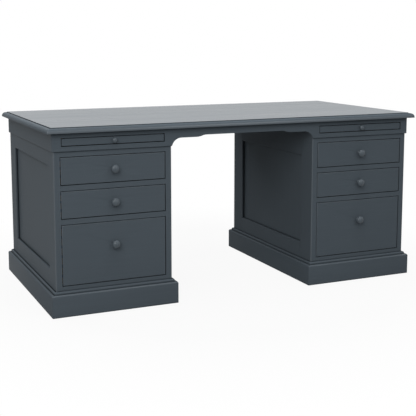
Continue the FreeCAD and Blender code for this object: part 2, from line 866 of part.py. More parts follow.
plinth_steps = [
    (0, 0, LINE, LINE),
    (0, "plinth_shelf - plinth_round", LINE, LINE),
    ("plinth_round", "plinth_shelf", "plinth_round", LEFT_TURN),
    ("plinth_foot", "plinth_shelf", LINE, LINE),
    ("plinth_foot", "plinth_step", LINE, LINE),
    ("plinth_foot + plinth_ovolo", "plinth_height", "plinth_ovolo", LEFT_TURN),
    ("plinth_thickness", "plinth_height", LINE, LINE),
]
plinth_block = moulded("plinth_block", "plinth_x", "plinth_y", plinth_steps)
plinth_z = (0, "plinth_height")
plinth_hollow = block("plinth_hollow", both_ways("case_half"), both_ways("case_y"), plinth_z)
plinth_ring = cut("plinth_ring", plinth_block, plinth_hollow)
plinth_boards = mitred_boards(
    "plinth", plinth_ring, "plinth_x", "plinth_y", "plinth_thickness", plinth_z
)
plinth_facing = [
    mirrored("plinth_back", plinth_boards[0], ALONG_Y),
    mirrored("plinth_right", plinth_boards[1]),
]
pedestal_node("plinth", *plinth_boards, *plinth_facing)

# Drawers


def drawer(name, base, opening, count, knob_share):
    """A dovetailed drawer in its opening, and the runner and stop of its left side."""
    tail_count = round(value(count))
    floor = f"{base} + front_gap"
    height = f"({opening} - 2 * front_gap)"
    side_height = f"({height} - drawer_side_drop)"
    side_top = f"{floor} + {side_height}"
    panel_z = (f"{floor} + drawer_bottom_rise", f"{floor} + drawer_bottom_rise + drawer_bottom")
    back_z = (panel_z[1], f"{side_top} - drawer_back_drop")
    back_height = f"({side_height} - drawer_back_drop - drawer_bottom_rise - drawer_bottom)"
    side_x = ("-box_half", "drawer_side - box_half")

    def tails(end, y, z_base, z_height, near_share, far_share):
        """A row of dovetail tails on the left side, evenly spaced over a height."""
        row = []
        for number in range(tail_count):
            middle = f"{z_base} + {z_height} * {2 * number + 1} / {2 * tail_count}"
            half = f"{z_height} / {2 * tail_count}"
            near, far = (
                (f"{middle} - {half} * {share}", f"{middle} + {half} * {share}")
                for share in (near_share, far_share)
            )
            row.append(tapered(f"{name}_{end}_tail", y, side_x, side_x, near, far))
        return together(f"{name}_{end}_tails", row)

    wide, narrow = "tail_wide_share", "tail_narrow_share"
    front_y = ("dovetail_lap - case_y", "box_root")
    front_tails = tails("front", front_y, floor, side_height, wide, narrow)
    back_y = ("back_front", "box_rear")
    rear_tails = tails("rear", back_y, back_z[0], back_height, narrow, wide)
    pins = cut(f"{name}_pins", block(f"{name}_pin_zone", side_x, back_y, back_z), rear_tails)
    core = block(f"{name}_side_board", side_x, ("box_root", "box_rear"), (floor, side_top))
    groove_x = ("drawer_side - drawer_groove - box_half", "drawer_side + cut_overrun - box_half")
    groove_y = ("box_root - drawer_groove", "box_rear + cut_overrun")
    side_groove = block(f"{name}_side_groove", groove_x, groove_y, panel_z)
    tailed = fuse(f"{name}_tailed_side", cut(f"{name}_pinned_side", core, pins), *front_tails.Links)
    left = cut(f"{name}_side", tailed, side_groove)

    knob_at = (0, "-case_y", f"{floor} + {height} * {knob_share}")
    face_z = (floor, f"{floor} + {height}")
    face = front_board(f"{name}_face", "box_half", face_z, "-case_y", "front_thickness")
    panel_half = "box_half - drawer_side + drawer_groove"
    front_groove = block(
        f"{name}_front_groove",
        both_ways(panel_half),
        ("box_root - drawer_groove", "box_root + cut_overrun"),
        panel_z,
    )
    socket_copies = mirrored(f"{name}_front_tails_2", front_tails)
    hole = knob_hole(f"{name}_knob_hole", "full_knob_share", knob_at)
    front = cut(f"{name}_front", face, front_tails, socket_copies, front_groove, hole)
    back_board = block(f"{name}_back_board", both_ways("box_half"), back_y, back_z)
    back = cut(f"{name}_back", back_board, rear_tails, mirrored(f"{name}_rear_tails_2", rear_tails))
    bottom = block(
        f"{name}_bottom",
        both_ways(f"{panel_half} - panel_slack"),
        ("box_root - drawer_groove + panel_slack", "box_rear"),
        panel_z,
    )
    pedestal_node(f"{name}_drawer_front", front)
    pedestal_node(f"{name}_drawer_sides", left, mirrored(f"{name}_side_2", left))
    pedestal_node(f"{name}_drawer_back", back)
    pedestal_node(f"{name}_drawer_bottom", bottom)
    pedestal_node(f"{name}_drawer_knob", knob(f"{name}_knob", "full_knob_share", knob_at))

    runner_top = f"{floor} - running_clearance"
    guide_face = "-box_half - guide_clearance"
    runner_outline = [
        corner("-inner_half", f"{runner_top} - runner_thickness"),
        corner("runner_bearing - box_half", f"{runner_top} - runner_thickness"),
        corner("runner_bearing - box_half", runner_top),
        corner(guide_face, runner_top),
        corner(guide_face, f"{runner_top} + guide_height"),
        corner("-inner_half", f"{runner_top} + guide_height"),
    ]
    runner = padded(
        f"{name}_runner", "XZ_Plane", [runner_outline], "inner_depth", (0, "inner_middle", 0)
    )
    stop = block(
        f"{name}_stop",
        ("-box_half", "runner_bearing - box_half"),
        ("box_rear + stop_clearance", "box_rear + stop_clearance + stop_depth"),
        (runner_top, f"{runner_top} + stop_height"),
    )
    return together(f"{name}_running", [runner, stop])


DRAWERS = (
    ("top", "top_base", "shallow_drawer", "shallow_tail_count", "shallow_knob_share"),
    ("middle", "middle_base", "shallow_drawer", "shallow_tail_count", "shallow_knob_share"),
    ("deep", "deep_base", "deep_drawer", "deep_tail_count", "deep_knob_share"),
)
left_running = [drawer(*row) for row in DRAWERS]
right_running = [mirrored(piece.Name + "_2", piece) for piece in left_running]
pedestal_node("drawer_runners", *left_running, *right_running)

# Checks and files

doc.recompute()
failed = [item.Label for item in doc.Objects if {"Invalid", "Error"} & set(item.State)]
broken = [item.Label for item in nodes if item.Shape.isNull() or not item.Shape.isValid()]
if failed or broken:
    raise RuntimeError(f"failed objects: {failed}, broken shapes: {broken}")

os.makedirs("parts", exist_ok=True)
for item in nodes:
    solids = item.Shape.Solids
    Part.makeCompound(solids).exportStep(os.path.join("parts", item.Label + ".step"))
    print(f"{item.Label}: {len(solids)} solids, {sum(solid.Volume for solid in solids):.0f} mm3")
print(f"{len(nodes)} nodes")
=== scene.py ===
"""Pedestal desk: its paint and timber, moulded edges, turned knobs, studio and camera."""
import functools
import json
import logging
import math
from collections.abc import Iterator, Sequence
from dataclasses import dataclass, field
from enum import Enum

import bmesh
import bpy
from mathutils import Matrix, Vector

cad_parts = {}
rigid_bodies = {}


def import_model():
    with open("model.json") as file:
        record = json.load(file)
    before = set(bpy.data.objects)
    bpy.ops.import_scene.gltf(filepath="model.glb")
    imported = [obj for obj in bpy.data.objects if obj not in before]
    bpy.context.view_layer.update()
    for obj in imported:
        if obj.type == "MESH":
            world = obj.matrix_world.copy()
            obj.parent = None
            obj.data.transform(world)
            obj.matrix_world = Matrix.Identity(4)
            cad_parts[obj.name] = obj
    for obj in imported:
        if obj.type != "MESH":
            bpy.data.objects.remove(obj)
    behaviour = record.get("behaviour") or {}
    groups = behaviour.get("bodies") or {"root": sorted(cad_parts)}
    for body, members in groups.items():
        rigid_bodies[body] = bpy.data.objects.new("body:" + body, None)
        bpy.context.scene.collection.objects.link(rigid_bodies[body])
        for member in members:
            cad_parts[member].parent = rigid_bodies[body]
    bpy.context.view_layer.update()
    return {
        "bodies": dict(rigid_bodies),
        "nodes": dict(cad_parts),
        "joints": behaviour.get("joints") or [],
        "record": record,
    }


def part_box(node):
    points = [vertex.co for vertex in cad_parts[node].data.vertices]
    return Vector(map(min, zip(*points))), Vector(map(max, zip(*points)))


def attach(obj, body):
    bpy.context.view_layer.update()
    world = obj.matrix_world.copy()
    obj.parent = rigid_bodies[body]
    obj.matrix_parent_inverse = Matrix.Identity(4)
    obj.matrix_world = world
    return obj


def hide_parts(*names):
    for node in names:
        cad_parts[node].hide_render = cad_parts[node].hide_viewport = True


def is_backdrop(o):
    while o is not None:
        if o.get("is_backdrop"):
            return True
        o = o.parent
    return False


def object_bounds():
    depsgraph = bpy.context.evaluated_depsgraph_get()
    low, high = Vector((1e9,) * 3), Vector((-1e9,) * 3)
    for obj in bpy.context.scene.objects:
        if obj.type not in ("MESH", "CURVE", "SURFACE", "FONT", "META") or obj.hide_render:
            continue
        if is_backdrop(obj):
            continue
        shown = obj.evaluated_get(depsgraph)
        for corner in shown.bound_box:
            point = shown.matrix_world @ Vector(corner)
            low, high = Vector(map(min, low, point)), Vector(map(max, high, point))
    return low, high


LOG = logging.getLogger("pedestal_desk")

Colour = tuple[float, float, float, float]
Place = tuple[float, float, float]
Step = tuple[float, float]
Socket = bpy.types.NodeSocket
Mesh = bmesh.types.BMesh
MeshFace = bmesh.types.BMFace
MeshEdge = bmesh.types.BMEdge
MeshPoint = bmesh.types.BMVert

WHITE: Colour = (1.0, 1.0, 1.0, 1.0)
UNIT = 1.0
AXES = range(3)
MERGE_DISTANCE = 0.00001
SMOOTH_ANGLE = math.radians(32.0)
QUARTER_TURN = math.pi / 2
FULL_TURN = math.tau
FLAT_SHARE = 0.999


class Side(Enum):
    """The two ends of the desk, as the sitter in front of it sees them."""

    LEFT = "left"
    RIGHT = "right"


class Level(Enum):
    """The drawers of a pedestal, from the top one down."""

    TOP = "top"
    MIDDLE = "middle"
    DEEP = "deep"


class Slot(Enum):
    """Material slots of the record."""

    PAINT = "slate_paint"
    DRAWER = "drawer_timber"
    CARCASS = "carcass_timber"


class Grain(Enum):
    """The axis that the grain of a board runs along."""

    X = 0
    Y = 1
    Z = 2

    def stretched(self, share: float) -> Vector:
        """A scale that draws a pattern out along the grain."""
        scale = Vector((UNIT, UNIT, UNIT))
        scale[self.value] = share
        return scale

    @staticmethod
    def of_board(low: Vector, high: Vector) -> "Grain":
        """The grain of a board between two corners, which follows its longest side."""
        sides = list(high - low)
        return Grain(sides.index(max(sides)))


class ShaderBench:
    """A new material and short ways to add and link its nodes."""

    def __init__(self, name: str) -> None:
        """Start a material with the principled shader that every finish feeds."""
        self.material = bpy.data.materials.new(name)
        self.material.use_nodes = True
        self.tree = self.material.node_tree
        self.surface = self.tree.nodes["Principled BSDF"]

    def feed(self, node: bpy.types.Node, inputs: dict[str, object]) -> None:
        """Link or set inputs of a node.

        Args:
            node: The node that is fed.
            inputs: Sockets or plain values by the name of the input.
        """
        for name, source in inputs.items():
            if isinstance(source, Socket):
                self.tree.links.new(source, node.inputs[name])
            else:
                node.inputs[name].default_value = source

    def add(
        self, kind: str, inputs: dict[str, object] | None = None, **settings: object
    ) -> bpy.types.Node:
        """Add a node.

        Args:
            kind: Identifier of the node's type.
            inputs: Sockets or plain values by the name of the input.
            settings: Properties of the node by name.

        Returns:
            The new node.
        """
        made = self.tree.nodes.new(kind)
        for name, setting in settings.items():
            setattr(made, name, setting)
        self.feed(made, inputs or {})
        return made

    def drawn_out(self, place: Socket, grain: Grain, share: float) -> Socket:
        """Coordinates in which a pattern is drawn out along the grain."""
        inputs = {"Vector": place, "Scale": grain.stretched(share)}
        return self.add("ShaderNodeMapping", inputs).outputs["Vector"]

    def noise(self, vector: Socket, scale: float, detail: float, **settings: float) -> Socket:
        """A noise pattern's factor.

        Args:
            vector: Coordinates that it is read at.
            scale: Features per metre.
            detail: Number of finer layers.
            settings: Further inputs by name.

        Returns:
            The factor's socket.
        """
        inputs = {"Vector": vector, "Scale": scale, "Detail": detail, **settings}
        return self.add("ShaderNodeTexNoise", inputs).outputs["Fac"]

    def mapped(self, factor: Socket, low: float, high: float) -> Socket:
        """A factor moved from the range of zero to one into another range."""
        inputs = {"Value": factor, "To Min": low, "To Max": high}
        return self.add("ShaderNodeMapRange", inputs).outputs["Result"]

    def blended(self, first: Socket, second: Socket, share: float) -> Socket:
        """Two factors mixed, with a share of the second."""
        node = self.add("ShaderNodeMix", {"Factor": share, "A": first, "B": second})
        return node.outputs["Result"]

    def ramp(self, factor: Socket, stops: Sequence[tuple[float, Colour]]) -> Socket:
        """A colour ramp over a factor.

        Args:
            factor: What the ramp reads.
            stops: Positions and colours, in order.

        Returns:
            The colour's socket.
        """
        node = self.add("ShaderNodeValToRGB", {"Fac": factor})
        elements = node.color_ramp.elements
        while len(elements) < len(stops):
            elements.new(UNIT)
        for element, (position, colour) in zip(elements, stops):
            element.position = position
            element.color = colour
        return node.outputs["Color"]

    def bump(self, height: Socket, depth: float, normal: Socket | None = None) -> Socket:
        """Relief of a real depth from a height pattern, on top of another relief if there is one.

        Args:
            height: Pattern that the relief follows.
            depth: Height of the relief.
            normal: The relief below it.

        Returns:
            The normal's socket.
        """
        inputs = {"Height": height, "Distance": depth}
        if normal is not None:
            inputs["Normal"] = normal
        return self.add("ShaderNodeBump", inputs).outputs["Normal"]


def tinted(colour: Colour, share: float) -> Colour:
    """A colour made lighter or darker by a share of itself."""
    red, green, blue, alpha = colour
    return (red * share, green * share, blue * share, alpha)


@dataclass(frozen=True)
class SatinPaint:
    """Slate paint, brushed on along the grain, which shows through it a little."""

    name: str = "slate_paint"
    slot: Slot = Slot.PAINT
    colour: Colour = (0.0506, 0.0624, 0.073, 1.0)
    specular: float = 0.02
    roughness: float = 0.5
    roughness_spread: float = 0.05
    tone_spread_share: float = 0.05
    mottle_share: float = 0.35
    mottle_per_metre: float = 2.6
    mottle_detail: float = 2.0
    figure_per_metre: float = 150.0
    figure_stretch_share: float = 0.03
    figure_detail: float = 5.0
    figure_roughness: float = 0.6
    figure_distortion: float = 0.3
    figure_depth: float = 0.00005
    brush_per_metre: float = 700.0
    brush_stretch_share: float = 0.012
    brush_detail: float = 2.0
    brush_depth: float = 0.00002
    dark_stop_share: float = 0.3
    light_stop_share: float = 0.7
    # Reach of the painted shade darkened into creases; zero paints none.
    painted_shade_reach: float = 0.0

    @functools.cache
    def material(self, grain: Grain) -> bpy.types.Material:
        """The paint on a board, with painted shade that darkens its colour in the creases as far as its
        reach.

        Args:
            grain: Axis that the board and the brush strokes run along.

        Returns:
            The material, made once for each axis.
        """
        bench = ShaderBench(f"{self.name}_{grain.name.lower()}")
        place = bench.add("ShaderNodeTexCoord").outputs["Object"]
        along, strokes = (
            bench.drawn_out(place, grain, share)
            for share in (self.figure_stretch_share, self.brush_stretch_share)
        )
        figure = bench.noise(
            along,
            self.figure_per_metre,
            self.figure_detail,
            Roughness=self.figure_roughness,
            Distortion=self.figure_distortion,
        )
        brush = bench.noise(strokes, self.brush_per_metre, self.brush_detail)
        mottle = bench.noise(place, self.mottle_per_metre, self.mottle_detail)
        tone = bench.blended(figure, mottle, self.mottle_share)
        shades = [
            (self.dark_stop_share, tinted(self.colour, UNIT - self.tone_spread_share)),
            (self.light_stop_share, tinted(self.colour, UNIT + self.tone_spread_share)),
        ]
        relief = bench.bump(figure, self.figure_depth)
        colour = bench.ramp(tone, shades)
        # Painted shade: an ambient occlusion node darkens the paint's colour in creases, corners and
        # recesses.
        if self.painted_shade_reach:
            crease_shade_inputs = {"Color": colour, "Distance": self.painted_shade_reach}
            colour = bench.add("ShaderNodeAmbientOcclusion", crease_shade_inputs).outputs["Color"]
        bench.feed(bench.surface, {
            "Base Color": colour,
            "Specular IOR Level": self.specular,
            "Roughness": bench.mapped(
                figure, self.roughness - self.roughness_spread, self.roughness + self.roughness_spread
            ),
            "Normal": bench.bump(brush, self.brush_depth, relief),
        })
        return bench.material


@dataclass(frozen=True)
class Timber:
    """Bare or sealed timber, with growth rings about an axis beside the board."""

    slot: Slot
    name: str
    pale: Colour
    dark: Colour
    roughness: float
    rings_per_metre: float = 42.0
    ring_stretch_share: float = 0.06
    ring_detail: float = 3.0
    ring_detail_scale: float = 1.6
    pith_offset: float = 0.21
    waviness: float = 2.4
    fibre_per_metre: float = 900.0
    fibre_stretch_share: float = 0.015
    fibre_detail: float = 3.0
    fibre_share: float = 0.4
    fibre_depth: float = 0.00006
    pale_stop_share: float = 0.15
    dark_stop_share: float = 0.85

    @functools.cache
    def material(self, grain: Grain) -> bpy.types.Material:
        """The timber of a board.

        Args:
            grain: Axis that the board runs along.

        Returns:
            The material, made once for each axis.
        """
        bench = ShaderBench(f"{self.name}_{grain.name.lower()}")
        place = bench.add("ShaderNodeTexCoord").outputs["Object"]
        log = bench.add("ShaderNodeMapping", {
            "Vector": place,
            "Location": Vector([self.pith_offset for axis in AXES]),
            "Scale": grain.stretched(self.ring_stretch_share),
        }).outputs["Vector"]
        rings = bench.add("ShaderNodeTexWave", {
            "Vector": log,
            "Scale": self.rings_per_metre,
            "Distortion": self.waviness,
            "Detail": self.ring_detail,
            "Detail Scale": self.ring_detail_scale,
        }, wave_type="RINGS", rings_direction=grain.name).outputs["Fac"]
        fibres = bench.drawn_out(place, grain, self.fibre_stretch_share)
        fibre = bench.noise(fibres, self.fibre_per_metre, self.fibre_detail)
        tone = bench.blended(rings, fibre, self.fibre_share)
        shades = [(self.pale_stop_share, self.pale), (self.dark_stop_share, self.dark)]
        bench.feed(bench.surface, {
            "Base Color": bench.ramp(tone, shades),
            "Roughness": self.roughness,
            "Normal": bench.bump(fibre, self.fibre_depth),
        })
        return bench.material


Finish = SatinPaint | Timber


def outward_arc(centre: Step, radius: float, first: float, last: float, count: int) -> list[Step]:
    """Steps of a moulding along an arc that bulges outwards.

    Args:
        centre: Inset and level of the arc's centre.
        radius: Radius of the arc.
        first: Angle of the first step above the outward direction, in radians.
        last: Angle of the last step.
        count: Number of chords.

    Returns:
        Insets and levels of the steps, from the first angle to the last.
    """
    inset, level = centre
    angles = [first + (last - first) * number / count for number in range(count + 1)]
    return [(inset - radius * math.cos(angle), level + radius * math.sin(angle)) for angle in angles]


@dataclass
class MitredMoulding:
    """Walls that follow the same moulding round the four sides of a rectangle."""

    half_width: float
    half_depth: float
    steps: list[Step]
    corner_radius: float
    corner_segments: int = 4
    mesh: Mesh = field(default_factory=bmesh.new)
    first: list[MeshEdge] = field(default_factory=list)
    last: list[MeshEdge] = field(default_factory=list)

    def rise(self) -> "MitredMoulding":
        """Draw the first rectangle with rounded corners and raise a wall from each step to the next."""
        inset, level = self.steps[0]
        corners = bmesh.ops.create_grid(self.mesh, x_segments=1, y_segments=1, size=UNIT)["verts"]
        self._fit(corners, (UNIT, UNIT), inset)
        bmesh.ops.translate(self.mesh, verts=corners, vec=(0.0, 0.0, level))
        bmesh.ops.bevel(
            self.mesh,
            geom=corners,
            affect="VERTICES",
            offset=self.corner_radius,
            segments=self.corner_segments,
            profile=0.5,
            material=-1,
        )
        bmesh.ops.delete(self.mesh, geom=self.mesh.faces[:], context="FACES_ONLY")
        self.first = self.last = self.mesh.edges[:]
        for (inset, level), (next_inset, next_level) in zip(self.steps, self.steps[1:]):
            made = bmesh.ops.extrude_edge_only(self.mesh, edges=self.last)["geom"]
            corners = [item for item in made if isinstance(item, MeshPoint)]
            self._fit(corners, (self.half_width - inset, self.half_depth - inset), next_inset)
            bmesh.ops.translate(self.mesh, verts=corners, vec=(0.0, 0.0, next_level - level))
            fresh = set(corners)
            edges = [item for item in made if isinstance(item, MeshEdge)]
            self.last = [edge for edge in edges if fresh.issuperset(edge.verts)]
        return self

    def _fit(self, corners: list[MeshPoint], halves: Step, inset: float) -> None:
        """Scale a rectangle from its present half sizes to those at an inset."""
        width, depth = halves
        scale = ((self.half_width - inset) / width, (self.half_depth - inset) / depth, UNIT)
        bmesh.ops.scale(self.mesh, verts=corners, vec=scale)

    def capped(self) -> Mesh:
        """Close the first and last rectangles, as on a slab."""
        for loop in (self.first, self.last):
            bmesh.ops.contextual_create(self.mesh, geom=loop)
        return self._outward()

    def ringed(self) -> Mesh:
        """Join the first and last rectangles, as on a hollow frame."""
        bmesh.ops.bridge_loops(self.mesh, edges=self.first + self.last)
        return self._outward()

    def _outward(self) -> Mesh:
        """Turn all faces outwards and lay the grain of each side along it."""
        bmesh.ops.recalc_face_normals(self.mesh, faces=self.mesh.faces)
        for face in self.mesh.faces:
            middle = face.calc_center_median()
            on_end = abs(middle.x) - self.half_width > abs(middle.y) - self.half_depth
            face.material_index = (Grain.Y if on_end else Grain.X).value
        return self.mesh


def loose_boards(mesh: Mesh) -> Iterator[list[MeshFace]]:
    """The separate boards of a mesh.

    Args:
        mesh: A merged mesh of one or more solids.

    Returns:
        The faces of one board after the other.
    """
    waiting = set(mesh.faces)
    while waiting:
        board = []
        front = [waiting.pop()]
        while front:
            face = front.pop()
            board.append(face)
            near = {other for edge in face.edges for other in edge.link_faces} & waiting
            waiting -= near
            front.extend(near)
        yield board


def corners_of(faces: Sequence[MeshFace]) -> tuple[Vector, Vector]:
    """The lowest and highest corners of some faces."""
    points = [vert.co for face in faces for vert in face.verts]
    return (
        Vector([min(point[axis] for point in points) for axis in AXES]),
        Vector([max(point[axis] for point in points) for axis in AXES]),
    )


def on_arris(face: MeshFace) -> bool:
    """Whether a face lies on a rounded arris, aslant of all three axes."""
    return max(abs(part) for part in face.normal) < FLAT_SHARE


@dataclass
class Workshop:
    """The frame's nodes, and the ways in which pieces are dressed and set on their bodies."""

    nodes: dict[str, bpy.types.Object]
    # The fixed pieces' paint has painted shade darkened into its creases; the moving pieces' paint has
    # none.
    paint: SatinPaint = SatinPaint(painted_shade_reach=0.007)
    moving_paint: SatinPaint = SatinPaint(name="moving_paint")
    lacquer: SatinPaint = SatinPaint(
        name="lacquered_paint",
        specular=0.19,
        roughness=0.3,
        roughness_spread=0.1,
        figure_per_metre=40.0,
        figure_stretch_share=0.02,
        figure_depth=0.0002,
    )
    rubbed: SatinPaint = SatinPaint(name="rubbed_paint", specular=0.15, roughness=0.24)
    worn: SatinPaint = SatinPaint(name="worn_edges", specular=0.28, roughness=0.3)
    drawer_timber: Timber = Timber(
        slot=Slot.DRAWER,
        name="drawer_timber",
        pale=(0.63, 0.46, 0.28, 1.0),
        dark=(0.42, 0.27, 0.14, 1.0),
        roughness=0.48,
    )
    carcass_timber: Timber = Timber(
        slot=Slot.CARCASS,
        name="carcass_timber",
        pale=(0.56, 0.39, 0.22, 1.0),
        dark=(0.40, 0.26, 0.135, 1.0),
        roughness=0.62,
    )
    arris: float = 0.0008
    arris_segments: int = 3

    def keep(self, node: str, finish: Finish, grain: Grain) -> None:
        """Leave a node as it is and give it a finish."""
        kept = self.nodes[node]
        kept.data.materials.clear()
        kept.data.materials.append(finish.material(grain))
        LOG.info("kept %s", node)

    def copy(self, node: str) -> Mesh:
        """A merged copy of a node's mesh."""
        mesh = bmesh.new()
        mesh.from_mesh(self.nodes[node].data)
        bmesh.ops.remove_doubles(mesh, verts=mesh.verts, dist=MERGE_DISTANCE)
        return mesh

    def add(
        self, name: str, mesh: Mesh, finishes: Sequence[Finish], body: str, *replaced: str
    ) -> bpy.types.Object:
        """Make a piece from a mesh, dress it and set it on its body.

        Args:
            name: Name of the piece.
            mesh: Its shape, with each face's material index as grain plus three for each further finish.
            finishes: Its finishes, whose materials are added in order, three to each finish.
            body: Body that it moves with.
            replaced: Nodes that it stands for.

        Returns:
            The new piece.
        """
        data = bpy.data.meshes.new(name)
        mesh.to_mesh(data)
        mesh.free()
        data.shade_smooth()
        data.set_sharp_from_angle(angle=SMOOTH_ANGLE)
        for finish in finishes:
            for grain in Grain:
                data.materials.append(finish.material(grain))
        made = bpy.data.objects.new(name, data)
        bpy.context.scene.collection.objects.link(made)
        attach(made, body)
        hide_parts(*replaced)
        LOG.info("made %s", name)
        return made

    def soften(self, piece: bpy.types.Object) -> None:
        """Round the sharp arrises of a piece."""
        bevel = piece.modifiers.new("soft_arrises", "BEVEL")
        bevel.width = self.arris
        bevel.segments = self.arris_segments
        bevel.limit_method = "ANGLE"
        bevel.angle_limit = SMOOTH_ANGLE
        bevel.harden_normals = True

    def weigh(self, piece: bpy.types.Object) -> None:
        """Keep the flats of a piece flat up to its rounded edges."""
        weighted = piece.modifiers.new("flat_faces", "WEIGHTED_NORMAL")
        weighted.keep_sharp = True

    def framed(self, name: str, node: str, body: str, arris: SatinPaint) -> None:
        """Dress a copy of a node's frame, each board along its own grain.

        Args:
            name: Name of the piece.
            node: Node that it stands for.
            body: Body that it moves with.
            arris: Finish of the rounded arrises.
        """
        mesh = self.copy(node)
        for board in loose_boards(mesh):
            grain = Grain.of_board(*corners_of(board))
            for face in board:
                face.material_index = grain.value + (len(Grain) if on_arris(face) else 0)
        self.weigh(self.add(name, mesh, [self.paint, arris], body, node))


@dataclass
class TopSection:
    """The moulded top and the frieze that it stands on."""

    shop: Workshop
    body: str = "desk"
    nose: float = 0.0015
    edge_round: float = 0.017
    edge_shelf: float = 0.004
    edge_quirk: float = 0.003
    groove_lip: float = 0.0008
    groove_depth: float = 0.003
    corner_radius: float = 0.002
    nose_chords: int = 5
    arc_chords: int = 10
    rubbed_share: float = 0.4
    facing_share: float = 0.5

    def build(self) -> None:
        """Make the top and dress the frieze."""
        self.make_top()
        self.dress_frieze()

    def make_top(self) -> None:
        """Model the top as a slab with a mitred moulding."""
        low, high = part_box("desk_top")
        lip = high.z - self.edge_quirk - self.edge_round
        flat_inset = self.edge_round + self.edge_shelf
        shelf = high.z - self.edge_quirk
        groove_inset = self.edge_round + self.groove_lip
        groove = shelf - self.groove_depth
        nose_centre = (self.nose, low.z + self.nose)
        steps = [
            *outward_arc(nose_centre, self.nose, -QUARTER_TURN, 0.0, self.nose_chords),
            *outward_arc((self.edge_round, lip), self.edge_round, 0.0, QUARTER_TURN, self.arc_chords),
            (groove_inset, shelf),
            (groove_inset, groove),
            (flat_inset, groove),
            (flat_inset, high.z),
        ]
        slab = MitredMoulding(high.x, high.y, steps, self.corner_radius).rise().capped()
        lacquered = len(Grain)
        worn = lacquered + len(Grain)
        flat = max(slab.faces, key=lambda face: face.calc_center_median().z)
        flat.material_index += lacquered
        rubbed_level = lip + self.edge_round * self.rubbed_share
        for face in slab.faces:
            on_front = face.normal.y < -self.facing_share
            if on_front and face.calc_center_median().z < rubbed_level:
                face.material_index += worn
        finishes = [self.shop.paint, self.shop.lacquer, self.shop.worn]
        self.shop.soften(self.shop.add("moulded_top", slab, finishes, self.body, "desk_top"))

    def dress_frieze(self) -> None:
        """Paint what shows of the frieze, and leave its inside bare."""
        paint, timber = self.shop.paint, self.shop.carcass_timber
        for node, finish, grain in (
            ("front_apron", paint, Grain.X),
            ("back_apron", paint, Grain.X),
            ("frieze_sides", paint, Grain.Y),
            ("frieze_cheeks", paint, Grain.Y),
            ("slide_runners", timber, Grain.Y),
            ("corner_blocks", timber, Grain.X),
            ("locating_dowels", timber, Grain.Z),
        ):
            self.shop.keep(node, finish, grain)


@dataclass
class TurnedKnob:
    """A knob with a domed head, a waist and a foot, turned about an axis along Y."""

    shop: Workshop
    node: str
    body: str
    scale: float = 1.0
    projection: float = 0.030
    head_radius: float = 0.018
    rim_radius: float = 0.009
    dome_height: float = 0.012
    foot_radius: float = 0.0115
    foot_height: float = 0.0025
    cove_radius: float = 0.008
    cove_chords: int = 8
    rim_chords: int = 12
    dome_chords: int = 8
    turn_steps: int = 48

    def build(self) -> None:
        """Turn the knob and set it where its node is."""
        mesh = bmesh.new()
        low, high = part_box(self.node)
        bmesh.ops.spin(
            mesh,
            geom=self.draw_profile(mesh),
            cent=(0.0, 0.0, 0.0),
            axis=(0.0, 1.0, 0.0),
            angle=FULL_TURN,
            steps=self.turn_steps,
            use_merge=True,
        )
        bmesh.ops.remove_doubles(mesh, verts=mesh.verts, dist=MERGE_DISTANCE)
        bmesh.ops.recalc_face_normals(mesh, faces=mesh.faces)
        bmesh.ops.scale(mesh, verts=mesh.verts, vec=[self.scale for axis in AXES])
        face = low.y + self.projection * self.scale
        place = Vector(((low.x + high.x) / 2, face, (low.z + high.z) / 2))
        bmesh.ops.translate(mesh, verts=mesh.verts, vec=place)
        for surface in mesh.faces:
            surface.material_index = Grain.Y.value
        self.shop.add(f"{self.node}_turning", mesh, [self.shop.rubbed], self.body, self.node)

    def draw_profile(self, mesh: Mesh) -> list[MeshPoint | MeshEdge]:
        """Draw the knob's outline from the foot to the crown.

        Args:
            mesh: Mesh that the outline goes into.

        Returns:
            Its points and lines.
        """
        waist = self.head_radius - self.rim_radius
        rim_level = self.projection - self.dome_height
        rim_centre = Vector((waist, -rim_level, 0.0))
        swell = self.dome_height - self.rim_radius
        dome_radius = (waist ** 2 + self.dome_height ** 2 - self.rim_radius ** 2) / (2 * swell)
        dome_centre = Vector((0.0, dome_radius - self.projection, 0.0))
        turn = rim_centre - dome_centre
        dome_angle = math.atan2(turn.x, -turn.y)
        tip = mesh.verts.new((0.0, 0.0, 0.0))
        for point in (
            Vector((self.foot_radius, 0.0, 0.0)),
            Vector((self.foot_radius, -self.foot_height, 0.0)),
        ):
            tip = self._line_to(mesh, tip, point)
        tip = self._cove_to(mesh, tip, rim_centre + Vector((0.0, self.rim_radius, 0.0)))
        tip = self._arc(mesh, tip, rim_centre, -(math.pi - dome_angle), self.rim_chords)
        self._arc(mesh, tip, dome_centre, -dome_angle, self.dome_chords)
        return mesh.verts[:] + mesh.edges[:]

    def _cove_to(self, mesh: Mesh, tip: MeshPoint, throat: Vector) -> MeshPoint:
        """Draw the hollow of the waist from the tip of the outline to the throat under the head."""
        chord = throat - tip.co
        half = chord.length / 2
        sag = math.sqrt(self.cove_radius ** 2 - half ** 2)
        across = Vector((-chord.y, chord.x, 0.0)).normalized()
        centre = (tip.co + throat) / 2 + across * sag
        return self._arc(mesh, tip, centre, 2 * math.asin(half / self.cove_radius), self.cove_chords)

    @staticmethod
    def _line_to(mesh: Mesh, tip: MeshPoint, point: Vector) -> MeshPoint:
        """Draw a line from the tip of the outline to a point."""
        made = bmesh.ops.extrude_vert_indiv(mesh, verts=[tip])["verts"]
        bmesh.ops.translate(mesh, verts=made, vec=point - tip.co)
        return made[0]

    @staticmethod
    def _arc(
        mesh: Mesh, tip: MeshPoint, centre: Vector, angle: float, chords: int
    ) -> MeshPoint:
        """Draw an arc from the tip of the outline about a centre."""
        made = bmesh.ops.spin(
            mesh, geom=[tip], cent=centre, axis=(0.0, 0.0, 1.0), angle=angle, steps=chords
        )["geom_last"]
        return next(item for item in made if isinstance(item, MeshPoint))


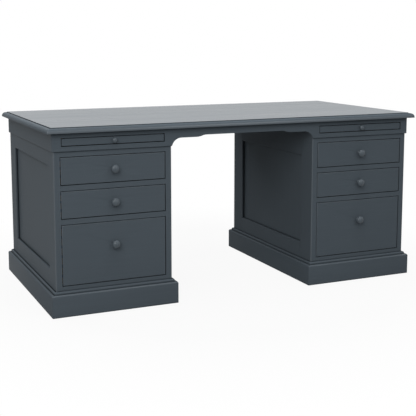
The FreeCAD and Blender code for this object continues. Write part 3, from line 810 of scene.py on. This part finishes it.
@dataclass
class WritingSlide:
    """A board that pulls out of the frieze, with its lipping and knob."""

    shop: Workshop
    side: Side
    knob_scale: float = 0.61

    def build(self) -> None:
        """Dress the board and the lipping, and turn the knob."""
        name = self.side.value
        self.shop.keep(f"{name}_slide_board", self.shop.moving_paint, Grain.X)
        self.shop.keep(f"{name}_slide_front", self.shop.moving_paint, Grain.X)
        TurnedKnob(self.shop, f"{name}_slide_knob", f"{name}_slide", self.knob_scale).build()


@dataclass
class Drawer:
    """A dovetailed drawer with a painted front."""

    shop: Workshop
    side: Side
    level: Level
    facing_share: float = 0.9
    painted_depth: float = 0.003

    def build(self) -> None:
        """Dress the box, paint the front and turn the knob."""
        body = f"{self.side.value}_{self.level.value}_drawer"
        for board, grain in (("sides", Grain.Y), ("back", Grain.X), ("bottom", Grain.X)):
            self.shop.keep(f"{body}_{board}", self.shop.drawer_timber, grain)
        self.paint_front(body)
        TurnedKnob(self.shop, f"{body}_knob", body).build()

    def paint_front(self, body: str) -> None:
        """Paint the face and edges of the front, and leave its back and sockets bare."""
        node = f"{body}_front"
        mesh = self.shop.copy(node)
        low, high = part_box(node)
        bare = len(Grain)
        worn = bare + len(Grain)
        for face in mesh.faces:
            middle = face.calc_center_median()
            from_edges = (middle.x - low.x, high.x - middle.x, middle.z - low.z, high.z - middle.z)
            inside = min(from_edges) > MERGE_DISTANCE
            faces_back = face.normal.y > -self.facing_share
            behind = inside and faces_back and middle.y - low.y > self.painted_depth
            face.material_index = Grain.X.value + (bare if behind else worn if on_arris(face) else 0)
        finishes = [self.shop.moving_paint, self.shop.drawer_timber, self.shop.worn]
        self.shop.weigh(self.shop.add(f"{node}_board", mesh, finishes, body, node))


@dataclass
class Pedestal:
    """A framed and panelled case on a moulded plinth."""

    shop: Workshop
    side: Side
    body: str = "desk"
    plinth_thickness: float = 0.022
    plinth_round: float = 0.008
    plinth_ledge: float = 0.004
    plinth_rise: float = 0.011
    plinth_ovolo: float = 0.007
    ledge_groove_depth: float = 0.002
    case_groove_depth: float = 0.004
    corner_radius: float = 0.003
    arc_chords: int = 8
    facing_share: float = 0.35
    rising_share: float = 0.3

    def build(self) -> None:
        """Make the plinth and dress the case."""
        name = self.side.value
        self.make_plinth()
        paint, worn = self.shop.paint, self.shop.worn
        for frame, arris in (("face_frame", worn), ("side_frames", paint), ("back_frame", paint)):
            self.shop.framed(f"{name}_{frame}_boards", f"{name}_{frame}", self.body, arris)
        self.shop.keep(f"{name}_panels", self.shop.paint, Grain.Z)
        for board in ("bottom_board", "top_board", "drawer_runners"):
            self.shop.keep(f"{name}_{board}", self.shop.carcass_timber, Grain.Y)

    def make_plinth(self) -> None:
        """Model the plinth as a hollow frame with a mitred moulding."""
        node = f"{self.side.value}_plinth"
        low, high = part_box(node)
        size = high - low
        shelf = high.z - self.plinth_rise
        ledge_groove = shelf - self.ledge_groove_depth
        case_groove = high.z - self.case_groove_depth
        foot = self.plinth_round + self.plinth_ledge
        crown = foot + self.plinth_ovolo
        round_centre = (self.plinth_round, shelf - self.plinth_round)
        ovolo_centre = (crown, high.z - self.plinth_ovolo)
        steps = [
            (0.0, low.z),
            *outward_arc(round_centre, self.plinth_round, 0.0, QUARTER_TURN, self.arc_chords),
            (self.plinth_round, ledge_groove),
            (foot, ledge_groove),
            *outward_arc(ovolo_centre, self.plinth_ovolo, 0.0, QUARTER_TURN, self.arc_chords),
            (crown, case_groove),
            (self.plinth_thickness, case_groove),
            (self.plinth_thickness, low.z),
        ]
        ring = MitredMoulding(size.x / 2, size.y / 2, steps, self.corner_radius).rise().ringed()
        middle = (low + high) / 2
        bmesh.ops.translate(ring, verts=ring.verts, vec=(middle.x, middle.y, 0.0))
        for face in ring.faces:
            on_round = face.normal.z > self.rising_share and face.calc_center_median().z < shelf
            if on_round and face.normal.y < -self.facing_share:
                face.material_index += len(Grain)
        finishes = [self.shop.paint, self.shop.rubbed]
        self.shop.soften(self.shop.add(f"{node}_moulding", ring, finishes, self.body, node))


@dataclass(frozen=True)
class Lamp:
    """A square soft lamp that faces the middle of the desk."""

    name: str
    place: Place
    size: float
    power: float

    def hang(self) -> None:
        """Hang the lamp in the scene."""
        data = bpy.data.lights.new(self.name, "AREA")
        data.size = self.size
        data.energy = self.power
        lamp = bpy.data.objects.new(self.name, data)
        low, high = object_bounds()
        towards = (low + high) / 2 - Vector(self.place)
        turn = towards.to_track_quat("-Z", "Y").to_matrix().to_4x4()
        lamp.matrix_world = Matrix.Translation(self.place) @ turn
        bpy.context.scene.collection.objects.link(lamp)


@dataclass
class Studio:
    """A white floor and surround, soft lamps and the camera."""

    floor_half: float = 30.0
    floor_albedo: float = 0.33
    floor_white_share: float = 0.93
    fade_start: float = 0.95
    fade_end: float = 1.7
    ambient: float = 0.18
    lamps: tuple[Lamp, ...] = (
        Lamp("left_lamp", place=(-2.9, -3.8, 3.0), size=3.4, power=218.0),
        Lamp("right_lamp", place=(1.8, -4.0, 3.0), size=2.8, power=62.0),
        Lamp("top_lamp", place=(0.0, -0.5, 4.0), size=3.0, power=145.0),
        Lamp("side_lamp", place=(4.2, 0.6, 2.2), size=2.4, power=65.0),
        Lamp("back_lamp", place=(-1.5, 3.1, 4.3), size=2.9, power=160.0),
    )
    camera_place: Place = (-1.7409, -3.8959, 1.1475)
    camera_yaw: float = 24.170
    camera_pitch: float = -7.872
    focal_pixels: float = 895.64
    image_pixels: float = 416.0
    sensor_width: float = 36.0
    camera_shift: float = -0.12

    def build(self) -> None:
        """Set up the floor, the light and the camera."""
        scene = bpy.context.scene
        scene.view_settings.view_transform = "Standard"
        self.lay_floor()
        self.light_surround()
        for lamp in self.lamps:
            lamp.hang()
        self.place_camera()

    @staticmethod
    def _seen_white(tree: bpy.types.NodeTree) -> Socket:
        """A factor of one for rays that show the surround itself.

        Args:
            tree: Node tree that the factor is made in.

        Returns:
            The factor's socket.
        """
        path = tree.nodes.new("ShaderNodeLightPath").outputs
        total = path["Is Camera Ray"]
        for kind in ("Is Glossy Ray", "Is Transmission Ray"):
            joined = tree.nodes.new("ShaderNodeMath")
            joined.operation = "MAXIMUM"
            tree.links.new(total, joined.inputs[0])
            tree.links.new(path[kind], joined.inputs[1])
            total = joined.outputs["Value"]
        return total

    def lay_floor(self) -> None:
        """Lay a pale floor, which looks white and keeps a soft shadow."""
        mesh = bmesh.new()
        bmesh.ops.create_grid(mesh, x_segments=1, y_segments=1, size=self.floor_half)
        data = bpy.data.meshes.new("floor")
        mesh.to_mesh(data)
        mesh.free()
        floor = bpy.data.objects.new("floor", data)
        bpy.context.scene.collection.objects.link(floor)
        bench = ShaderBench("pale_floor")
        nodes, links = bench.tree.nodes, bench.tree.links
        bench.feed(bench.surface, {
            "Base Color": tinted(WHITE, self.floor_albedo), "Roughness": UNIT, "Specular IOR Level": 0.0,
        })
        glow = bench.add("ShaderNodeEmission", {"Color": WHITE, "Strength": UNIT})
        place = bench.add("ShaderNodeTexCoord").outputs["Object"]
        away = bench.add("ShaderNodeVectorMath", {0: place}, operation="LENGTH").outputs["Value"]
        faded = bench.add("ShaderNodeMapRange", {
            "Value": away,
            "From Min": self.fade_start,
            "From Max": self.fade_end,
            "To Min": self.floor_white_share,
        }).outputs["Result"]
        share = bench.add(
            "ShaderNodeMath", {0: self._seen_white(bench.tree), 1: faded}, operation="MULTIPLY"
        )
        mix = bench.add("ShaderNodeMixShader", {0: share.outputs["Value"]})
        links.new(bench.surface.outputs["BSDF"], mix.inputs[1])
        links.new(glow.outputs["Emission"], mix.inputs[2])
        links.new(mix.outputs["Shader"], nodes["Material Output"].inputs["Surface"])
        data.materials.append(bench.material)
        floor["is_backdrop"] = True

    def light_surround(self) -> None:
        """Light the desk from all round, with a surround that looks white."""
        world = bpy.data.worlds.new("white_surround")
        world.use_nodes = True
        nodes, links = world.node_tree.nodes, world.node_tree.links
        ambient = nodes["Background"]
        ambient.inputs["Color"].default_value = WHITE
        ambient.inputs["Strength"].default_value = self.ambient
        seen = nodes.new("ShaderNodeBackground")
        seen.inputs["Color"].default_value = WHITE
        seen.inputs["Strength"].default_value = UNIT
        mix = nodes.new("ShaderNodeMixShader")
        links.new(self._seen_white(world.node_tree), mix.inputs[0])
        links.new(ambient.outputs["Background"], mix.inputs[1])
        links.new(seen.outputs["Background"], mix.inputs[2])
        links.new(mix.outputs["Shader"], nodes["World Output"].inputs["Surface"])
        bpy.context.scene.world = world

    def place_camera(self) -> None:
        """Set the camera at the photograph's angle."""
        data = bpy.data.cameras.new("camera")
        data.sensor_width = self.sensor_width
        data.lens = self.focal_pixels / self.image_pixels * self.sensor_width
        data.shift_y = self.camera_shift
        camera = bpy.data.objects.new("camera", data)
        camera.location = self.camera_place
        camera.rotation_euler = (
            QUARTER_TURN + math.radians(self.camera_pitch), 0.0, -math.radians(self.camera_yaw)
        )
        bpy.context.scene.collection.objects.link(camera)
        bpy.context.scene.camera = camera


def main() -> None:
    """Load the frame, build the desk's sub-assemblies in order and set up the studio."""
    logging.basicConfig(level=logging.INFO, format="%(name)s: %(message)s")
    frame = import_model()
    shop = Workshop(frame["nodes"])
    TopSection(shop).build()
    for side in Side:
        Pedestal(shop, side).build()
        WritingSlide(shop, side).build()
        for level in Level:
            Drawer(shop, side, level).build()
    Studio().build()


if __name__ == "__main__":
    main()
